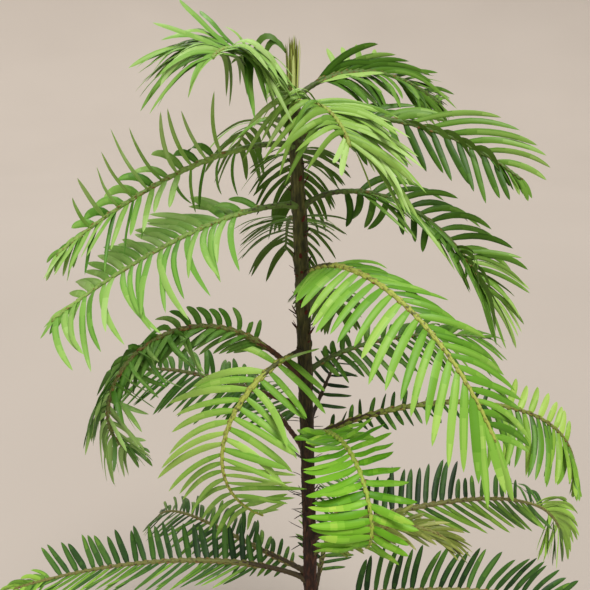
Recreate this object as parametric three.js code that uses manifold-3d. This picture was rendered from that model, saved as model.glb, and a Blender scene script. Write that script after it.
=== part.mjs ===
// A young wollemi pine in a plain nursery pot, in millimetres, with +Z up.
// The origin is the middle of the pot's flat underside. +X is the plant's right and +Y its back.
// One slim trunk carries long unbranched boughs. Each bough leaves the trunk as a bare tapering limb
// and goes on as a spray: a thin stem with a rank of strap-shaped leaves on either side.
import * as THREE from "three";
import { mergeVertices } from "three/addons/utils/BufferGeometryUtils.js";
import Module from "manifold-3d";

const wasm = await Module();
wasm.setup();

// Pot and potting mix
const POT_HEIGHT = 165;
const POT_RIM_RADIUS = 95;
const POT_FOOT_RADIUS = 70;
const POT_WALL = 2;
const POT_RIM_BAND = 14;
const POT_RIM_LIP = 3;
const POT_EDGE = 2;
const POT_SIDES = 32;
const DRAIN_HOLES = 6;
const DRAIN_RADIUS = 5;
const DRAIN_CIRCLE = 48;
const SOIL_LEVEL = 150;
const SOIL_SHOULDER = 5;

// Trunk: a flat cut on the potting mix, a slight lean to the left, and a quicker bend just under the tip
const TRUNK_TIP = 660;
const PLANT_TOP = 681;
const TRUNK_LEAN = 14;
const TRUNK_TIP_BEND = 5;
const TRUNK_BASE_RADIUS = 5.3;
const TRUNK_NECK_RADIUS = 4.1;
const TRUNK_TIP_RADIUS = 2.4;
const TRUNK_SIDES = 12;
const TRUNK_RINGS = 14;
const ROOT_FLARE = 3.2;
const ROOT_FLARE_HEIGHT = 10;

// Boughs: a bough is worked out in equal steps, bare over the first few and leafy after them
const PATH_STEPS = 18;
const BARE_STEPS = 3;
const BARE_SHARE = BARE_STEPS / PATH_STEPS;
const LIMB_RADIUS = 2;
const SHORT_BOUGH_SHARE = 0.62;
const FULL_BOUGH = 190;
const STEM_TIP_RADIUS = 0.7;
const LIMB_SIDES = 6;
const STEM_SIDES = 3;

// Leaves: angles in degrees, from the stem for the splay and from the spray's plane for the lift
const LEAF_SPACING = 7;
const FEWEST_LEAVES = 14;
const LEAF_WIDTH = 5.8;
const LEAF_THICKNESS = 0.9;
const LEAF_WIDEST = 0.45;
const LEAF_ROOT_SINK = 0.35;
const FOOT_LEAF_SHARE = 0.6;
const TIP_LEAF_SHARE = 0.7;
const LENGTH_SCATTER = 0.2;
const SPLAY_FOOT = 74;
const SPLAY_TIP = 26;
const SPLAY_SCATTER = 12;
const LIFT_SCATTER = 26;
const GAP = 0.3;
const LEAF_CLEARANCE = 0.5;

// Leader: a short upright stem on the trunk's tip with needles that stand close round it
const LEADER_STEM = 10;
const LEADER_NEEDLES = 9;
const LEADER_NEEDLE = 18;
const LEADER_NEEDLE_WIDTH = 2.4;
const LEADER_SPREAD = 0.2;
const LEADER_TURN = 137.5;

// Each bough springs from the trunk at height and heads for turn (0 right, 90 back, 180 left, 270 front),
// drifting by sweep on its way. It leaves at rise degrees and ends at fall degrees. bend says where along
// it turns over: under 1 near the trunk, over 1 near the tip. leaf is its longest leaf. lift raises the
// leaves out of the spray's plane, sag lets their tips drop, and roll turns the spray about its stem.
const BOUGHS = [
  { name: "top_left", height: 651, turn: 228, sweep: 25, rise: 35, fall: -28, bend: 2.5,
    length: 78, leaf: 40, lift: 15, sag: 0.3, roll: -28 },
  { name: "top_right", height: 649, turn: 26, sweep: -10, rise: 53, fall: -37, bend: 0.65,
    length: 99, leaf: 36, lift: 5, sag: 0.4, roll: 35 },
  { name: "top_front", height: 649, turn: 300, sweep: -4, rise: 8, fall: -52, bend: 1.6,
    length: 62, leaf: 38, lift: 10, sag: 0.35, roll: 0 },
  { name: "top_back", height: 637, turn: 128, sweep: -10, rise: 15, fall: -50, bend: 1,
    length: 75, leaf: 34, lift: 5, sag: 0.45, roll: 0 },
  { name: "high_right", height: 628, turn: 342, sweep: 1, rise: 68, fall: -35, bend: 0.4,
    length: 128, leaf: 37, lift: 0, sag: 0.35, roll: 20 },
  { name: "high_left", height: 626, turn: 210, sweep: -5, rise: 40, fall: -35, bend: 0.3,
    length: 141, leaf: 34, lift: 15, sag: 0.3, roll: -28 },
  { name: "high_back", height: 622, turn: 90, sweep: 0, rise: 5, fall: -60, bend: 1,
    length: 105, leaf: 36, lift: 5, sag: 0.5, roll: 0 },
  { name: "upper_left", height: 593, turn: 215, sweep: -7, rise: 25, fall: -31, bend: 0.4,
    length: 148, leaf: 40, lift: 5, sag: 0.4, roll: -28 },
  { name: "upper_right", height: 589, turn: -8, sweep: -26, rise: 80, fall: -60, bend: 0.43,
    length: 133, leaf: 37, lift: 5, sag: 0.35, roll: 28 },
  { name: "upper_back", height: 578, turn: 98, sweep: -5, rise: 8, fall: -55, bend: 1,
    length: 115, leaf: 36, lift: 5, sag: 0.5, roll: 0 },
  { name: "middle_front_right", height: 546, turn: 305, sweep: 11, rise: 80, fall: -59, bend: 0.47,
    length: 167, leaf: 42, lift: 0, sag: 0.25, roll: 5 },
  { name: "middle_back", height: 525, turn: 72, sweep: 8, rise: 15, fall: -55, bend: 0.9,
    length: 125, leaf: 34, lift: 0, sag: 0.45, roll: 0 },
  { name: "middle_front_left", height: 501, turn: 226, sweep: -28, rise: 14, fall: -145, bend: 0.93,
    length: 151, leaf: 42, lift: 0, sag: 0.15, roll: -30 },
  { name: "middle_right", height: 485, turn: 24, sweep: -23, rise: 43, fall: -9, bend: 0.4,
    length: 126, leaf: 34, lift: 5, sag: 0.35, roll: 20 },
  { name: "middle_left", height: 479, turn: 196, sweep: 33, rise: 52, fall: -146, bend: 1.87,
    length: 198, leaf: 34, lift: -5, sag: 0.3, roll: -10 },
  { name: "lower_left_back", height: 461, turn: 163, sweep: -7, rise: 9, fall: -51, bend: 3,
    length: 158, leaf: 34, lift: 5, sag: 0.3, roll: -20 },
  { name: "lower_back_right", height: 445, turn: 62, sweep: 14, rise: 30, fall: -22, bend: 2,
    length: 78, leaf: 22, lift: 10, sag: 0.1, roll: 20 },
  { name: "lower_front_right", height: 441, turn: 290, sweep: -5, rise: 35, fall: -136, bend: 2.6,
    length: 141, leaf: 32, lift: 0, sag: 0.1, roll: 0 },
  { name: "lower_right", height: 436, turn: 337, sweep: 52, rise: 38, fall: -84, bend: 1.44,
    length: 236, leaf: 34, lift: 0, sag: 0.4, roll: 15 },
  { name: "lower_back", height: 424, turn: 124, sweep: -12, rise: 22, fall: -35, bend: 1,
    length: 165, leaf: 34, lift: 5, sag: 0.35, roll: 0 },
  { name: "low_right", height: 352, turn: -5, sweep: 40, rise: 28, fall: -59, bend: 1.3,
    length: 239, leaf: 34, lift: 10, sag: 0.1, roll: 25 },
  { name: "low_front_right", height: 338, turn: 334, sweep: 17, rise: 43, fall: -60, bend: 3,
    length: 118, leaf: 34, lift: 5, sag: 0.2, roll: 15 },
  { name: "low_back_left", height: 320, turn: 150, sweep: -16, rise: 0, fall: -54, bend: 3,
    length: 183, leaf: 34, lift: 5, sag: 0.3, roll: -20 },
  { name: "low_left", height: 312, turn: 180, sweep: -1, rise: 47, fall: -22, bend: 0.4,
    length: 227, leaf: 36, lift: 10, sag: 0.05, roll: -25 },
  { name: "bottom_right", height: 293, turn: 350, sweep: 14, rise: 20, fall: -21, bend: 1.4,
    length: 186, leaf: 36, lift: 10, sag: 0.1, roll: 25 },
  { name: "bottom_back", height: 276, turn: 78, sweep: -10, rise: 30, fall: -35, bend: 1,
    length: 190, leaf: 36, lift: 10, sag: 0.2, roll: 0 },
  { name: "bottom_front_left", height: 262, turn: 232, sweep: 10, rise: 32, fall: -35, bend: 1,
    length: 185, leaf: 36, lift: 10, sag: 0.2, roll: 0 },
  { name: "bottom_front", height: 244, turn: 292, sweep: 8, rise: 34, fall: -40, bend: 1,
    length: 180, leaf: 36, lift: 10, sag: 0.2, roll: 0 },
];

const RAD = Math.PI / 180;

// Repeatable scatter from 0 to 1 for one leaf of one bough.
function scatter(bough, leaf, channel) {
  const x = Math.sin(bough * 12.9898 + leaf * 78.233 + channel * 37.719) * 43758.5453;
  return x - Math.floor(x);
}

function material(color, roughness) {
  return new THREE.MeshStandardMaterial({ color, roughness, metalness: 0 });
}

const MATERIALS = {
  pot: material(0x232425, 0.6),
  soil: material(0x3a2a1e, 0.95),
  bark: material(0x4a3226, 0.85),
  limb: material(0x6f6a35, 0.75),
  leaf: material(0x5fa03c, 0.5),
};

function toSolid(geometry) {
  const bare = geometry.clone();
  bare.deleteAttribute("normal");
  bare.deleteAttribute("uv");
  const merged = mergeVertices(bare, 1e-4);
  return new wasm.Manifold(
    new wasm.Mesh({
      numProp: 3,
      vertProperties: new Float32Array(merged.attributes.position.array),
      triVerts: new Uint32Array(merged.index.array),
    })
  );
}

function toMesh(name, solid, look) {
  const made = solid.getMesh();
  const geometry = new THREE.BufferGeometry();
  geometry.setAttribute("position", new THREE.BufferAttribute(made.vertProperties, 3));
  geometry.setIndex(new THREE.BufferAttribute(made.triVerts, 1));
  geometry.computeVertexNormals();
  const mesh = new THREE.Mesh(geometry, look);
  mesh.name = name;
  return mesh;
}

// Moves every vertex of a geometry by a function of its own place.
function reshape(geometry, place) {
  const position = geometry.attributes.position;
  const v = new THREE.Vector3();
  for (let i = 0; i < position.count; i++) {
    const to = place(v.fromBufferAttribute(position, i));
    position.setXYZ(i, to.x, to.y, to.z);
  }
  return geometry;
}

// A cylinder bent along frames: frameAt(share) gives its centre, its two cross directions and its radius.
function limbGeometry(frameAt, sides, rings) {
  return reshape(new THREE.CylinderGeometry(1, 1, 1, sides, rings), (v) => {
    const f = frameAt(v.y + 0.5);
    return f.centre
      .clone()
      .addScaledVector(f.up, v.x * f.radius)
      .addScaledVector(f.side, v.z * f.radius);
  });
}

// A solid turned about the z axis from points of radius and height.
function turned(outline) {
  const points = outline.map(([r, z]) => new THREE.Vector2(r, z));
  return toSolid(new THREE.LatheGeometry(points, POT_SIDES).rotateX(Math.PI / 2));
}

// The outer radius of the pot's sloping wall
function potWallAt(z) {
  return THREE.MathUtils.lerp(POT_FOOT_RADIUS, POT_RIM_RADIUS - POT_RIM_LIP, z / POT_HEIGHT);
}

// Pot: wall, floor and rim band in one, with round drain holes
function potSolid() {
  const bandFoot = POT_HEIGHT - POT_RIM_BAND;
  const wall = turned([
    [0, 0],
    [POT_FOOT_RADIUS - POT_EDGE, 0],
    [POT_FOOT_RADIUS, POT_EDGE],
    [potWallAt(bandFoot), bandFoot],
    [POT_RIM_RADIUS, bandFoot + POT_EDGE / 2],
    [POT_RIM_RADIUS, POT_HEIGHT - POT_EDGE / 2],
    [POT_RIM_RADIUS - POT_EDGE / 2, POT_HEIGHT],
    [potWallAt(POT_HEIGHT) - POT_WALL, POT_HEIGHT],
    [potWallAt(POT_WALL) - POT_WALL, POT_WALL],
    [0, POT_WALL],
  ]);
  const holes = [];
  for (let i = 0; i < DRAIN_HOLES; i++) {
    const angle = ((i + 0.5) * 2 * Math.PI) / DRAIN_HOLES;
    const hole = new THREE.CylinderGeometry(DRAIN_RADIUS, DRAIN_RADIUS, 4 * POT_WALL, 10)
      .rotateX(Math.PI / 2)
      .translate(DRAIN_CIRCLE * Math.cos(angle), DRAIN_CIRCLE * Math.sin(angle), 0);
    holes.push(toSolid(hole));
  }
  return holes.reduce((left, hole) => left.subtract(hole), wall);
}

// Potting mix: a plug that fills the pot, with a flat top for the trunk
function soilSolid() {
  const insideAt = (z) => potWallAt(z) - POT_WALL - 2 * GAP;
  const floor = POT_WALL + GAP;
  const shoulder = SOIL_LEVEL - SOIL_SHOULDER / 2;
  return turned([
    [0, floor],
    [insideAt(floor), floor],
    [insideAt(shoulder), shoulder],
    [insideAt(shoulder) - SOIL_SHOULDER, SOIL_LEVEL],
    [0, SOIL_LEVEL],
  ]);
}

// The middle of the trunk at a height: it leans evenly, and bends over more just under the plant's top.
function trunkCentre(z) {
  const t = (z - SOIL_LEVEL) / (PLANT_TOP - SOIL_LEVEL);
  return new THREE.Vector3(-TRUNK_LEAN * t - TRUNK_TIP_BEND * t ** 6, 0, z);
}

function trunkRadius(z) {
  const t = (z - SOIL_LEVEL) / (TRUNK_TIP - SOIL_LEVEL);
  const body = THREE.MathUtils.lerp(TRUNK_BASE_RADIUS, TRUNK_NECK_RADIUS, t);
  const tip = (TRUNK_NECK_RADIUS - TRUNK_TIP_RADIUS) * t ** 14;
  const flare = ROOT_FLARE * Math.exp(-(z - SOIL_LEVEL) / ROOT_FLARE_HEIGHT);
  return body - tip + flare;
}

// The trunk from foot to tip, grown by extra all round. Its rings crowd towards the flared foot.
function trunkSolid(extra, foot) {
  const frameAt = (share) => {
    const z = THREE.MathUtils.lerp(foot, TRUNK_TIP, share ** 1.6);
    const centre = trunkCentre(z);
    return {
      centre,
      up: new THREE.Vector3(0, 1, 0),
      side: new THREE.Vector3(1, 0, 0),
      radius: trunkRadius(z) + extra,
    };
  };
  return toSolid(limbGeometry(frameAt, TRUNK_SIDES, TRUNK_RINGS));
}

// The bough's centre line, worked out in steps from its angles, with a frame at any share of its length.
function boughPath(bough) {
  const angles = (s) => ({
    pitch: (bough.rise + (bough.fall - bough.rise) * s ** bough.bend) * RAD,
    heading: (bough.turn + bough.sweep * s) * RAD,
  });
  const directions = (s) => {
    const { pitch, heading } = angles(s);
    const along = new THREE.Vector3(
      Math.cos(pitch) * Math.cos(heading),
      Math.cos(pitch) * Math.sin(heading),
      Math.sin(pitch)
    );
    const side = new THREE.Vector3(-Math.sin(heading), Math.cos(heading), 0);
    const up = new THREE.Vector3().crossVectors(along, side);
    side.applyAxisAngle(along, bough.roll * RAD);
    up.applyAxisAngle(along, bough.roll * RAD);
    return { along, side, up };
  };
  const growth = THREE.MathUtils.lerp(SHORT_BOUGH_SHARE, 1, bough.length / FULL_BOUGH);
  const thickness = LIMB_RADIUS * Math.min(1, growth);
  const points = [trunkCentre(bough.height)];
  for (let i = 0; i < PATH_STEPS; i++) {
    const { along } = directions((i + 0.5) / PATH_STEPS);
    points.push(points[i].clone().addScaledVector(along, bough.length / PATH_STEPS));
  }
  return (s) => {
    const step = Math.min(Math.floor(s * PATH_STEPS), PATH_STEPS - 1);
    const centre = points[step].clone().lerp(points[step + 1], s * PATH_STEPS - step);
    const radius = THREE.MathUtils.lerp(thickness, STEM_TIP_RADIUS, s ** 0.8);
    return { centre, radius, ...directions(s) };
  };
}

// One leaf: a thin blade with a ridge, wide in the middle, that bends there as it sags.
function leafGeometry(root, out, along, length, width, sag) {
  const across = along.clone().addScaledVector(out, -along.dot(out)).normalize();
  const face = new THREE.Vector3().crossVectors(across, out);
  const drop = new THREE.Vector3(0, 0, -1);
  const at = (t) =>
    root
      .clone()
      .addScaledVector(out, length * t * (1 - 0.3 * sag * t))
      .addScaledVector(drop, length * sag * t * t);
  const middle = at(LEAF_WIDEST);
  const tip = at(1);
  return reshape(new THREE.OctahedronGeometry(1), (v) => {
    if (Math.abs(v.y) > 0.5) return v.y > 0 ? tip : root;
    return middle
      .clone()
      .addScaledVector(across, (v.x * width) / 2)
      .addScaledVector(face, (v.z * LEAF_THICKNESS) / 2);
  });
}

// The leaves of one spray, in two ranks that take turns along the stem.
// They stand out widest near the bough's foot and point forward near its tip.
function leafPlaces(bough, index, frameAt) {
  const leafy = bough.length * (1 - BARE_SHARE);
  const count = Math.max(FEWEST_LEAVES, Math.round(leafy / LEAF_SPACING));
  const places = [];
  for (let k = 0; k < count; k++) {
    const share = (k + 0.5) / count;
    const s = BARE_SHARE + (1 - BARE_SHARE) * (0.03 + 0.95 * share);
    const f = frameAt(s);
    const hand = k % 2 ? 1 : -1;
    const splayMean = THREE.MathUtils.lerp(SPLAY_FOOT, SPLAY_TIP, share ** 2);
    const splay = (splayMean + SPLAY_SCATTER * (scatter(index, k, 1) - 0.5)) * RAD;
    const lift = (bough.lift + LIFT_SCATTER * (scatter(index, k, 2) - 0.5)) * RAD;
    const shorten = Math.min(1, FOOT_LEAF_SHARE + 2 * share, TIP_LEAF_SHARE + 1.5 * (1 - share));
    const length = bough.leaf * shorten * (1 + LENGTH_SCATTER * (scatter(index, k, 3) - 0.5));
    const out = f.along
      .clone()
      .multiplyScalar(Math.cos(splay))
      .addScaledVector(f.side, hand * Math.sin(splay) * Math.cos(lift))
      .addScaledVector(f.up, Math.sin(splay) * Math.sin(lift));
    const root = f.centre.clone().addScaledVector(out, -LEAF_ROOT_SINK * f.radius);
    places.push({ root, out, along: f.along, length, sag: bough.sag });
  }
  return places;
}

function leaderFrame(share) {
  const z = THREE.MathUtils.lerp(TRUNK_TIP + GAP, TRUNK_TIP + LEADER_STEM, share);
  return {
    centre: trunkCentre(z),
    up: new THREE.Vector3(0, 1, 0),
    side: new THREE.Vector3(1, 0, 0),
    radius: THREE.MathUtils.lerp(TRUNK_TIP_RADIUS, STEM_TIP_RADIUS, share),
  };
}

function leaderSolid() {
  let solid = toSolid(limbGeometry(leaderFrame, STEM_SIDES, 2));
  for (let k = 0; k < LEADER_NEEDLES; k++) {
    const turn = k * LEADER_TURN * RAD;
    const outward = new THREE.Vector3(Math.cos(turn), Math.sin(turn), 0);
    const around = new THREE.Vector3(-Math.sin(turn), Math.cos(turn), 0);
    const out = new THREE.Vector3(0, 0, 1).addScaledVector(outward, LEADER_SPREAD).normalize();
    const foot = leaderFrame(k / LEADER_NEEDLES).centre;
    const needle = leafGeometry(foot, out, around, LEADER_NEEDLE, LEADER_NEEDLE_WIDTH, 0);
    solid = solid.add(toSolid(needle));
  }
  return solid;
}

const root = new THREE.Group();
const trunk = trunkSolid(0, SOIL_LEVEL + GAP);
const leader = leaderSolid();
root.add(toMesh("pot", potSolid(), MATERIALS.pot));
root.add(toMesh("soil", soilSolid(), MATERIALS.soil));
root.add(toMesh("trunk", trunk, MATERIALS.bark));
root.add(toMesh("leader", leader, MATERIALS.leaf));

// Limbs and stems are all placed before any leaf, so that each leaf can keep clear of every one of them.
const trunkKeepOut = trunkSolid(1.15 * GAP, SOIL_LEVEL);
const boughs = BOUGHS.map((bough, index) => {
  const frameAt = boughPath(bough);
  const gapShare = GAP / bough.length;
  const limbAt = (t) => frameAt(t * BARE_SHARE);
  const stemAt = (t) => frameAt(Math.max(BARE_SHARE + gapShare, BARE_SHARE + (1 - BARE_SHARE) * t));
  const limb = toSolid(limbGeometry(limbAt, LIMB_SIDES, BARE_STEPS)).subtract(trunkKeepOut);
  const stem = toSolid(limbGeometry(stemAt, STEM_SIDES, PATH_STEPS - BARE_STEPS));
  return { ...bough, index, frameAt, limb, stem };
});

const fixed = [
  { owner: "trunk", solid: trunk },
  { owner: "leader", solid: leader },
];
for (const bough of boughs) {
  fixed.push({ owner: bough.name + " limb", solid: bough.limb });
  fixed.push({ owner: bough.name, solid: bough.stem });
}

function isClear(solid, owner, others) {
  const a = solid.boundingBox();
  return others.every((other) => {
    if (other.owner === owner) return true;
    const b = other.solid.boundingBox();
    const room = [0, 1, 2].map((i) => Math.max(a.min[i] - b.max[i], b.min[i] - a.max[i]));
    if (Math.max(...room) > LEAF_CLEARANCE) return true;
    return solid.minGap(other.solid, LEAF_CLEARANCE + 1) > LEAF_CLEARANCE;
  });
}

const leaves = [];
for (const bough of boughs) {
  let spray = bough.stem;
  for (const place of leafPlaces(bough, bough.index, bough.frameAt)) {
    const { root: foot, out, along, length, sag } = place;
    const leaf = toSolid(leafGeometry(foot, out, along, length, LEAF_WIDTH, sag));
    if (!isClear(leaf, bough.name, fixed) || !isClear(leaf, bough.name, leaves)) continue;
    leaves.push({ owner: bough.name, solid: leaf });
    spray = spray.add(leaf);
  }
  root.add(toMesh("bough_" + bough.name, bough.limb, MATERIALS.limb));
  root.add(toMesh("spray_" + bough.name, spray, MATERIALS.leaf));
}

export default root;
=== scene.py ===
"""A young wollemi pine in a nursery pot.

The trunk, its 28 boughs and their leaves grow by the rule of the part's source, written again here, with
every leaf of the real plant in place of about half of them. Lengths below are in millimetres and angles
in degrees, and MM turns them into Blender's metres.
"""

import collections
import math

import bmesh
import bpy
import numpy as np
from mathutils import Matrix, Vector, noise


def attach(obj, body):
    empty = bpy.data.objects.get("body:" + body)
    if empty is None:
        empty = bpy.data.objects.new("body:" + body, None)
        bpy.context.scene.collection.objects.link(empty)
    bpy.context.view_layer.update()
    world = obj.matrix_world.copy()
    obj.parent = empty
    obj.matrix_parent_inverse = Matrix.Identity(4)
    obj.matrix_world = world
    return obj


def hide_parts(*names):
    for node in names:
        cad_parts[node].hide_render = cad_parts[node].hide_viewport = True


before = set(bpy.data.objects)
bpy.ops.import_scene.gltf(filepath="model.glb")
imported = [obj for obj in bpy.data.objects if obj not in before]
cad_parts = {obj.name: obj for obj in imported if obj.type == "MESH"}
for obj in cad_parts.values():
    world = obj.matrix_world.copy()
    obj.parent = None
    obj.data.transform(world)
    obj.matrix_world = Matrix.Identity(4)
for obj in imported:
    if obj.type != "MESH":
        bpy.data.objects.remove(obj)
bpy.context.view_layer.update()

MM = 0.001
UPWARD = np.array([0.0, 0.0, 1.0])

# Pot and potting mix
POT_HEIGHT = 165
POT_RIM_RADIUS = 95
POT_FOOT_RADIUS = 70
POT_WALL = 2
POT_RIM_BAND = 14
POT_RIM_LIP = 3
POT_SIDES = 144
DRAIN_HOLES = 6
DRAIN_RADIUS = 5
DRAIN_CIRCLE = 48
MOULDED_RINGS = (9, 118, 124, 130)
SOIL_LEVEL = 150
SOIL_GAP = 0.6
SOIL_RINGS = 46
SOIL_SIDES = 120
BARK_CHIPS = 420
GRANULES = 130
CHIPS_REACH = 86
CHIPS_EDGE = 87
LUMP_ROUGHNESS = 0.28
LUMP_TIP = 0.22

# Trunk
TRUNK_TIP = 660
PLANT_TOP = 681
TRUNK_LEAN = 14
TRUNK_TIP_BEND = 5
TRUNK_BASE_RADIUS = 5.3
TRUNK_NECK_RADIUS = 4.1
TRUNK_TIP_RADIUS = 2.4
ROOT_FLARE = 3.2
ROOT_FLARE_HEIGHT = 10
TRUNK_SIDES = 56
TRUNK_RING = 1.1
GREEN_TRUNK_FROM = 545
TRUNK_SCALES = 64
DEAD_NEEDLES = 58
DEAD_NEEDLES_FROM = 330
DEAD_NEEDLES_REACH = 130
GOLDEN_ANGLE = 137.5
OLD_LEAF_BASES = 230
OLD_LEAF_BASE_STEP = 2.2
OLD_LEAF_BASE_SIZE = 0.5
FRESH_LEAF_BASE_SIZE = 0.75
FRESH_LEAF_BASES_FROM = 480
BARK_SINK = 0.35
BARK_RIDGES = 0.42
BARK_FLAKES = 0.5
BARK_GRAIN = 0.16
BOUGH_SWELLING = 0.9
BUD_NEEDLES = 40

# Boughs and their leaves
LIMB_RADIUS = 2.0
SHORT_BOUGH_SHARE = 0.62
FULL_BOUGH = 190
STEM_TIP_RADIUS = 0.7
STEM_SIDES = 10
STEM_RING = 1.6
BARE_SHARE = 1 / 6
BROWN_SHARE = 1.3 * BARE_SHARE
PATH_STEPS = 72
SPLAY_SCATTER = 12
LIFT_SCATTER = 26
LENGTH_SCATTER = 0.2
LEAF_ROOT_SINK = 0.35
LEAF_THICKNESS = 0.34
LEAF_RINGS = np.array([0.0, 0.05, 0.12, 0.22, 0.33, 0.45, 0.57, 0.68, 0.78, 0.87, 0.94])
LEAF_ACROSS = np.array([-1.0, -0.5, 0.0, 0.5, 1.0])
LEAF_CROWN = 0.13
LEAF_MIDRIB = 0.035
LEAF_FOOT_WIDTH = 0.5
LEAF_FOOT_REACH = 0.22
LEAF_TAPER = 5.4
LEAF_BLUNTNESS = 0.72
LEAF_FOOT_TURN = 0.35
LEAF_RIPPLES = 11
LEAF_WAVE = 0.004
YELLOW_LEAF_WAVE = 0.014
MIDDLE_GLOW = 0.55
BAND_REACH = 0.12
LEAF_CLEARANCE = 0.6
TINTS = 7
BAND_GLOW = {"yellow": 1.9, "lime": 1.5, "fresh": 1.0, "bright": 1.2}
CUSHION_STEM = 0.95
CUSHION_LEAD = 2
COLLAR_SWELL = 0.75
COLLAR_FADE = 2.6
COLLAR_REACH = 7
STEM_KNOBS = 0.09
STEM_ROUGHNESS = 0.06
ROW_SEED_STEP = 200
COLLAR_BROWN = {"lime": "#40331f", "yellow": "#40331f"}

# Each bough's foot on the trunk and the way it turns round it, how its heading and its pitch change
# towards its tip, its length, its leaves' length, lift and sag, the roll of its two ranks, and its look.
Bough = collections.namedtuple(
    "Bough", "name height turn sweep rise fall bend length leaf lift sag roll look"
)
BOUGHS = [
    Bough("top_left", 651, 228, 25, 35, -28, 2.5, 78, 40, 15, 0.30, -28, "fresh"),
    Bough("top_right", 649, 26, -10, 53, -37, 0.65, 99, 36, 5, 0.40, 35, "deep"),
    Bough("top_front", 649, 300, -4, 8, -52, 1.6, 62, 38, 10, 0.35, 0, "bright"),
    Bough("top_back", 637, 128, -10, 15, -50, 1.0, 75, 34, 5, 0.45, 0, "fresh"),
    Bough("high_right", 628, 342, 1, 68, -35, 0.4, 128, 37, 0, 0.35, 20, "deep"),
    Bough("high_left", 626, 210, -5, 40, -35, 0.3, 141, 34, 15, 0.30, -28, "fresh"),
    Bough("high_back", 622, 90, 0, 5, -60, 1.0, 105, 36, 5, 0.50, 0, "deep"),
    Bough("upper_left", 593, 215, -7, 25, -31, 0.4, 148, 40, 5, 0.40, -28, "fresh"),
    Bough("upper_right", 589, -8, -26, 80, -60, 0.43, 133, 37, 5, 0.35, 28, "deep"),
    Bough("upper_back", 578, 98, -5, 8, -55, 1.0, 115, 36, 5, 0.50, 0, "deep"),
    Bough("middle_front_right", 546, 305, 11, 80, -59, 0.47, 167, 42, 0, 0.25, 5, "lime"),
    Bough("middle_back", 525, 72, 8, 15, -55, 0.9, 125, 34, 0, 0.45, 0, "deep"),
    Bough("middle_front_left", 501, 226, -28, 14, -145, 0.93, 151, 42, 0, 0.15, -30, "lime"),
    Bough("middle_right", 485, 24, -23, 43, -9, 0.4, 126, 34, 5, 0.35, 20, "deep"),
    Bough("middle_left", 479, 196, 33, 52, -146, 1.87, 198, 34, -5, 0.30, -10, "old"),
    Bough("lower_left_back", 461, 163, -7, 9, -51, 3.0, 158, 34, 5, 0.30, -20, "old"),
    Bough("lower_back_right", 445, 62, 14, 30, -22, 2.0, 78, 22, 10, 0.10, 20, "shoot"),
    Bough("lower_front_right", 441, 290, -5, 35, -136, 2.6, 141, 32, 0, 0.10, 0, "yellow"),
    Bough("lower_right", 436, 337, 52, 38, -84, 1.44, 236, 34, 0, 0.40, 15, "tipped"),
    Bough("lower_back", 424, 124, -12, 22, -35, 1.0, 165, 34, 5, 0.35, 0, "old"),
    Bough("low_right", 352, -5, 40, 28, -59, 1.3, 239, 34, 10, 0.10, 25, "dark"),
    Bough("low_front_right", 338, 334, 17, 43, -60, 3.0, 118, 34, 5, 0.20, 15, "olive"),
    Bough("low_back_left", 320, 150, -16, 0, -54, 3.0, 183, 34, 5, 0.30, -20, "dark"),
    Bough("low_left", 312, 180, -1, 47, -22, 0.4, 227, 36, 10, 0.05, -25, "dark"),
    Bough("bottom_right", 293, 350, 14, 20, -21, 1.4, 186, 36, 10, 0.10, 25, "dark"),
    Bough("bottom_back", 276, 78, -10, 30, -35, 1.0, 190, 36, 10, 0.20, 0, "dark"),
    Bough("bottom_front_left", 262, 232, 10, 32, -35, 1.0, 185, 36, 10, 0.20, 0, "dark"),
    Bough("bottom_front", 244, 292, 8, 34, -40, 1.0, 180, 36, 10, 0.20, 0, "dark"),
]

# The colours of each look, as a screen shows them: anchors of a leaf's upper side from deep to light,
# its underside, the stem near the trunk and the stem among the leaves. Then a leaf's width and its
# distance from the next one in the same rank.
Look = collections.namedtuple("Look", "tints underside foot_stem stem width spacing")
LOOKS = {
    "fresh": Look(("#4b7e23", "#75a942", "#96bf5e", "#b4d784"), "#769944", "#68853a", "#90b052", 3.4, 6.4),
    "bright": Look(("#4a7a1c", "#6f9a36", "#90b850", "#b4d67e"), "#88a646", "#76852f", "#a0b24b", 3.3, 3.6),
    "deep": Look(("#2e540c", "#4a751c", "#6f9a38", "#a3c868"), "#587a28", "#4f6222", "#5f7d30", 3.9, 5.6),
    "lime": Look(("#437418", "#669e2a", "#84b842", "#a8d060"), "#789a38", "#666a34", "#b0ba50", 4.0, 6.2),
    "yellow": Look(("#437f12", "#68a520", "#8ac23a", "#b8d656"), "#7dab40", "#6a7434", "#a6be46", 4.1, 6.4),
    "old": Look(("#2a5210", "#467520", "#69963e", "#96ba66"), "#527634", "#5a3422", "#6c7838", 3.8, 5.2),
    "tipped": Look(("#284a12", "#5f9026", "#88b23e", "#abce5e"), "#789a38", "#463620", "#7d8a34", 3.9, 6.4),
    "dark": Look(
        ("#1f3a1a", "#365c22", "#4f792d", "#78a638", "#9cca50"), "#557236", "#4f4226", "#7f8140", 3.6, 5.8
    ),
    "shoot": Look(("#1f3a1c", "#375a28", "#4f7030", "#6c8a40"), "#4a683a", "#33241a", "#4a3a24", 3.0, 9.0),
    "olive": Look(("#414d1b", "#5b6828", "#7d893c", "#aab062"), "#7c8548", "#5f5728", "#868840", 3.2, 5.0),
}

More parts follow.
